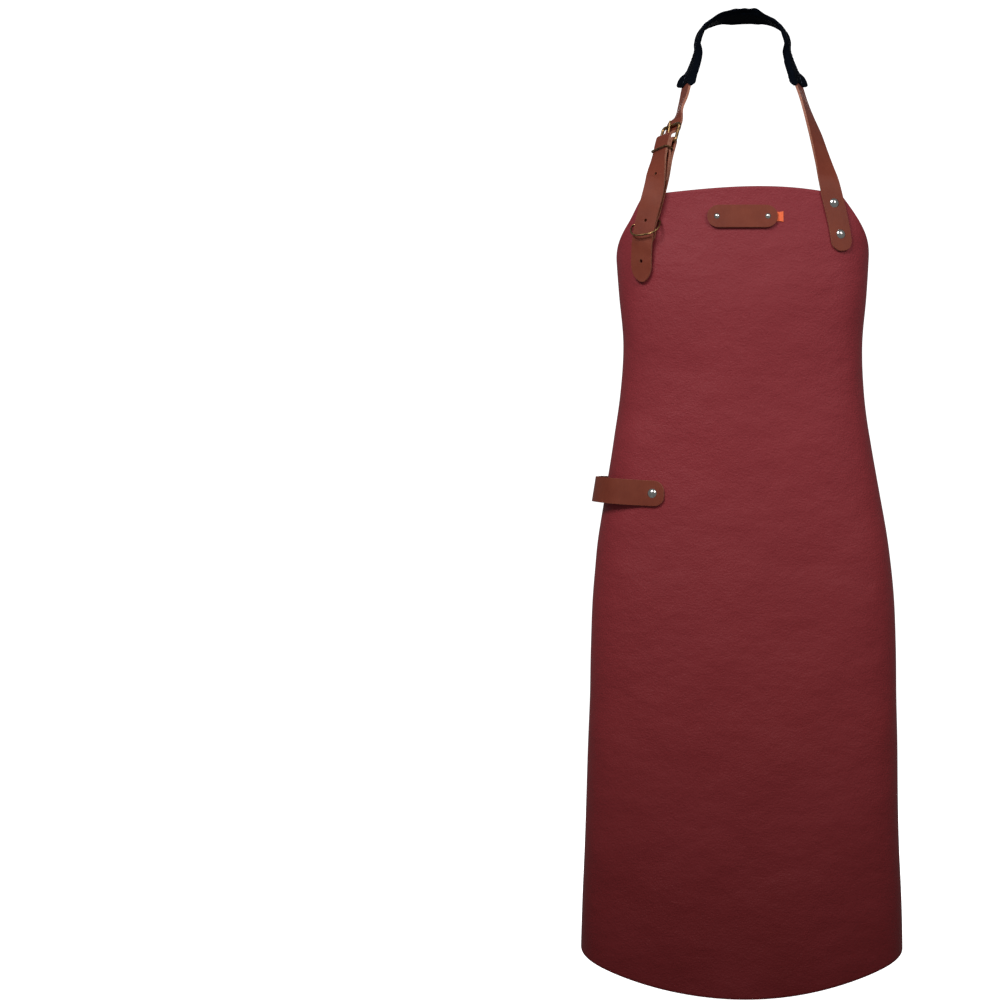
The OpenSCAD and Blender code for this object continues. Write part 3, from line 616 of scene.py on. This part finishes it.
def pad_blank(slim, narrow):
    """The sleeve as a closed oval tube, a little smaller than it ends up."""
    stations = np.linspace(-PAD_HALF_LEN, PAD_HALF_LEN, 90)
    point, along, facing, across = RUN.at(stations)
    half_w = PAD_W / 2 - narrow + 0.3 * outward(stations)
    half_t = PAD_T / 2 - slim
    sides = 28
    turn = np.linspace(0, 2 * math.pi, sides, endpoint=False)
    wide = np.sign(np.cos(turn)) * np.abs(np.cos(turn)) ** 0.6
    out = half_w[:, None] * wide - outward(stations)[:, None]
    rings = (point[:, None] + across[:, None] * out[..., None]
             + facing[:, None] * (half_t * np.sin(turn))[None, :, None])
    points = rings.reshape(-1, 3)
    faces = []
    for r in range(len(stations) - 1):
        for k in range(sides):
            a, b = r * sides + k, r * sides + (k + 1) % sides
            faces.append((a, b, b + sides, a + sides))
    last = (len(stations) - 1) * sides
    faces.append(tuple(range(sides))[::-1])
    faces.append(tuple(last + k for k in range(sides)))
    obj = new_object("canvas_pad", (points + OFFSET) * MM, faces)
    bm = bmesh.new()
    bm.from_mesh(obj.data)
    bmesh.ops.recalc_face_normals(bm, faces=bm.faces)
    bm.to_mesh(obj.data)
    bm.free()
    return obj


def puff(obj, voxel, pressure, cap):
    """Swells the closed mesh as cloth under a little pressure, moving no point past cap."""
    only_selected(obj)
    remesh = obj.modifiers.new("even_mesh", "REMESH")
    remesh.mode = "VOXEL"
    remesh.voxel_size = voxel
    bpy.ops.object.modifier_apply(modifier=remesh.name)
    rest = coordinates(obj)
    cloth = obj.modifiers.new("swell", "CLOTH")
    cloth.settings.quality = 6
    cloth.settings.mass = 0.25
    cloth.settings.tension_stiffness = 40
    cloth.settings.compression_stiffness = 12
    cloth.settings.bending_stiffness = 0.6
    cloth.settings.use_pressure = True
    cloth.settings.uniform_pressure_force = pressure
    cloth.settings.effector_weights.gravity = 0
    cloth.settings.shrink_min = -0.03
    cloth.collision_settings.use_collision = False
    cloth.point_cache.frame_start = 1
    cloth.point_cache.frame_end = CLOTH_FRAMES
    for at in range(1, CLOTH_FRAMES + 1):
        scene.frame_set(at)
    bpy.ops.object.modifier_apply(modifier=cloth.name)
    scene.frame_set(1)
    shift = coordinates(obj) - rest
    length = np.linalg.norm(shift, axis=1, keepdims=True)
    shift = shift * np.minimum(1, cap / np.maximum(length, 1e-9))
    obj.data.vertices.foreach_set("co", (rest + shift).ravel())
    obj.data.update()


def weave_coordinates(obj):
    """Writes each point's place along and round the sleeve, for the canvas to follow."""
    co = coordinates(obj) / MM - OFFSET
    stations = np.linspace(-PAD_HALF_LEN - 8, PAD_HALF_LEN + 8, 600)
    point, _, facing, across = RUN.at(stations)
    nearest = np.argmin(((co[:, None] - point[None]) ** 2).sum(-1), axis=1)
    rel = co - point[nearest]
    x = (rel * across[nearest]).sum(-1)
    n = (rel * facing[nearest]).sum(-1)
    weave = np.stack([stations[nearest] * MM, x * MM, n * MM], -1)
    attribute = obj.data.attributes.new("weave", "FLOAT_VECTOR", "POINT")
    attribute.data.foreach_set("vector", weave.ravel())
    return x, n, stations[nearest]


def make_pad():
    obj = pad_blank(slim=0.2, narrow=0.6)
    puff(obj, voxel=1.6 * MM, pressure=3.0, cap=1.6 * MM)
    subdivide = obj.modifiers.new("smooth", "SUBSURF")
    subdivide.levels = subdivide.render_levels = 1
    only_selected(obj)
    bpy.ops.object.modifier_apply(modifier=subdivide.name)
    x, n, s = weave_coordinates(obj)
    pad_details(obj, x, n, s)
    obj.data.polygons.foreach_set("use_smooth", [True] * len(obj.data.polygons))
    obj.data.materials.append(CANVAS)
    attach(obj, "apron")
    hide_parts("neck_pad")
    return obj


def pad_details(obj, x, n, s):
    """The sleeve's flat shape, its seam, hems and puckers, and how its free edges hang."""
    _, along, facing, _ = RUN.at(s)
    a = np.abs(s)
    over_strap = 1 - ease((np.abs(x) - 12.5) / 4)
    thin = RIM_HALF_T + 1.4 * over_strap
    flat = np.maximum(thin * np.tanh(1.4 * np.abs(n) / thin), STRAP_COVER * over_strap)
    seam = -0.35 * np.exp(-((x + SEAM_X) / 1.3) ** 2) * (n > 0)
    hem = -0.3 * np.exp(-((a - PAD_HALF_LEN + 9) / 1.4) ** 2)
    bend = np.exp(-((a - 58) / 20) ** 2)
    pucker = 0.4 * bend * np.sin(s / 2.3 + 0.9 * np.sin(x / 7)) * np.exp(-(x / 22) ** 2)
    crease = 0.4 * np.sin(s / 3.1 + 1.3 * np.sin(s / 11)) * np.exp(-(s / 48) ** 4)
    folds = (seam + hem + pucker + crease) * ease(np.abs(n) / 1.5)
    flatten = np.sign(n) * (flat + np.maximum(folds, -0.4 + 0.3 * over_strap)) - n
    # the free edges beyond the strap bend their own way: front is x > 0, rear is x < 0
    front, rear = ease((x - 12.5) / 8), ease((-x - 12.5) / 8)
    crown = 1.2 + 1.8 * np.exp(-((s - 18) / 7) ** 2) - 2.2 * np.exp(-((s - 46) / 12) ** 2)
    flare = ease((a - 105) / 35)
    curl = front * (crown * np.exp(-(s / 55) ** 4) - 3.2 * ease((a - 88) / 18))
    curl = curl + rear * (4.2 * flare - 3.2 * np.exp(-(s / 45) ** 4))
    # the mouth at each end: short at the rear, long at the front, drawn back over the strap
    reach = 8.0 * ease((x - 4) / 12) - 7.0 * ease((-x - 4) / 14)
    reach = reach - 6.0 * np.clip((np.abs(x + 1.5) - 15) / 8, 0, 1) ** 2
    mouth = 6.0 * np.exp(-(x / 9) ** 2) * ease(n / 1.5) * ease((a - 128) / 12)
    pull = np.sign(s) * (ease((a - 95) / 45) * reach - mouth)
    co = coordinates(obj) + MM * ((flatten + curl)[:, None] * facing + pull[:, None] * along)
    obj.data.vertices.foreach_set("co", co.ravel())
    obj.data.update()


def make_stitches(pad):
    """Thread stitches laid into the sleeve's seam."""
    tree = BVHTree.FromPolygons([v.co for v in pad.data.vertices],
                                [p.vertices for p in pad.data.polygons])
    bm = bmesh.new()
    for s in np.linspace(-PAD_HALF_LEN + 8, PAD_HALF_LEN - 8, STITCHES):
        point, along, facing, across = RUN.at(np.array([s]))
        start = Vector((point[0] - SEAM_X * across[0] + 12 * facing[0] + OFFSET) * MM)
        hit = tree.ray_cast(start, Vector(-facing[0]))
        if hit[0] is None:
            continue
        made = bmesh.ops.create_uvsphere(bm, u_segments=10, v_segments=8, radius=0.42 * MM)
        centre = hit[0] + Vector(facing[0]) * 0.1 * MM
        for v in made["verts"]:
            long = v.co.z * 4.2
            v.co = (centre + Vector(across[0]) * v.co.x + Vector(facing[0]) * v.co.y * 0.8
                    + Vector(along[0]) * long)
    mesh = bpy.data.meshes.new("pad_stitches")
    bm.to_mesh(mesh)
    bm.free()
    mesh.polygons.foreach_set("use_smooth", [True] * len(mesh.polygons))
    obj = bpy.data.objects.new("pad_stitches", mesh)
    scene.collection.objects.link(obj)
    obj.data.materials.append(THREAD)
    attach(obj, "apron")
    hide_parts("neck_pad_stitching")


# ------------------------------------------------------------ hardware

HARDWARE = {
    "neck_buckle": ["buckle_frame"],
    "neck_prong": ["buckle_prong"],
    "upper_keeper": ["wire_keeper"],
    "lower_ring": ["ring_keeper"],
    "waist_buckle": ["waist_buckle_frame"],
    "waist_prong": ["waist_buckle_prong"],
    "apron": [name for name in nodes if "rivet_caps" in name],
}


def metal_piece(node, body):
    """The CAD solid's own shape with smooth shading and softened edges."""
    material, slot = (NICKEL, "nickel") if "rivet" in node else (BRASS, "antique_brass")
    solid_piece(node, node + "_metal", body, material, 0.12 * MM)


def dress_posts():
    """The rivets' posts keep their CAD shape and take the same nickel."""
    for name, obj in nodes.items():
        if "rivet_posts" in name:
            obj.data.materials.clear()
            obj.data.materials.append(NICKEL)


# ------------------------------------------------------------ camera, light and stage

def make_camera():
    """Level with the waist, with the apron right of the middle of the frame."""
    data = bpy.data.cameras.new("camera")
    data.lens = 92.3
    data.shift_x = -0.2425
    data.shift_y = 0.0016
    camera = bpy.data.objects.new("camera", data)
    camera.location = (0, -3.125, -0.5886)
    camera.rotation_euler = (math.radians(90), 0, 0)
    scene.collection.objects.link(camera)
    scene.camera = camera


def area_light(name, place, target, size, power):
    data = bpy.data.lights.new(name, "AREA")
    data.shape = "RECTANGLE"
    data.size, data.size_y = size
    data.energy = power
    light = bpy.data.objects.new(name, data)
    light.location = place
    light.rotation_euler = (Vector(target) - Vector(place)).to_track_quat("-Z", "Y").to_euler()
    scene.collection.objects.link(light)


def make_stage():
    """A pale round floor that sweeps up into a wall, soft light from the front and above."""
    floor = cad_box[0][2] - 0.06
    flat, bend, wall, arcs = 5.0, 2.0, 9.0, 12
    profile = [(1.0, floor), (flat, floor)]
    for i in range(1, arcs + 1):
        a = math.radians(90 * i / arcs)
        profile.append((flat + bend * math.sin(a), floor + bend * (1 - math.cos(a))))
    profile.append((flat + bend, floor + wall))
    n, around = len(profile), 64
    turns = [2 * math.pi * k / around for k in range(around)]
    points = [(r * math.sin(a), r * math.cos(a), z) for a in turns for r, z in profile]
    faces = [(k * n + i, k * n + i + 1, (k + 1) % around * n + i + 1, (k + 1) % around * n + i)
             for k in range(around) for i in range(n - 1)]
    faces.append([k * n for k in range(around)])
    sweep = new_object("sweep", points, faces)
    m = Nodes("pale_paper")
    paper = m.mix(m.noise(3, 2), (0.93, 0.93, 0.93, 1), (0.95, 0.95, 0.95, 1))
    sweep.data.materials.append(m.finish(Base_Color=paper, Roughness=0.9, Specular_IOR_Level=0.1,
                                         Emission_Color=paper, Emission_Strength=1.0))
    sweep.visible_diffuse = False    # the paper stays white and lights nothing on the apron
    sweep.visible_glossy = False
    world = bpy.data.worlds.new("studio")
    world.use_nodes = True
    world.node_tree.nodes["Background"].inputs[0].default_value = (1.0, 1.0, 1.0, 1)
    world.node_tree.nodes["Background"].inputs[1].default_value = 0.22
    scene.world = world
    area_light("key", (-0.8, -1.6, 0.95), (0, 0, -0.3), (0.9, 0.7), 31)
    area_light("fill", (1.1, -1.7, 0.75), (0, 0, -0.4), (0.6, 0.9), 17)
    area_light("rim", (0.4, 1.5, 1.3), (0, 0, -0.2), (1.4, 0.6), 3)
    area_light("back", (0, 2.2, 0.4), (0, 0, -0.5), (1.2, 1.2), 14)


scene.view_settings.view_transform = "Standard"
make_camera()
make_stage()
make_hide()
for leather in ("neck_strap", "buckle_strap", "towel_loop", "waist_strap", "waist_buckle_strap"):
    leather_piece(leather)
leather_piece("name_plate", soften=0.9 * MM)
leather_piece("waist_keeper", body="waist_band", soften=0.4 * MM, thick=KEEPER_T * MM)
make_label()
canvas_pad = make_pad()
make_stitches(canvas_pad)
for body_name, metal_nodes in HARDWARE.items():
    for metal_node in metal_nodes:
        metal_piece(metal_node, body_name)
dress_posts()
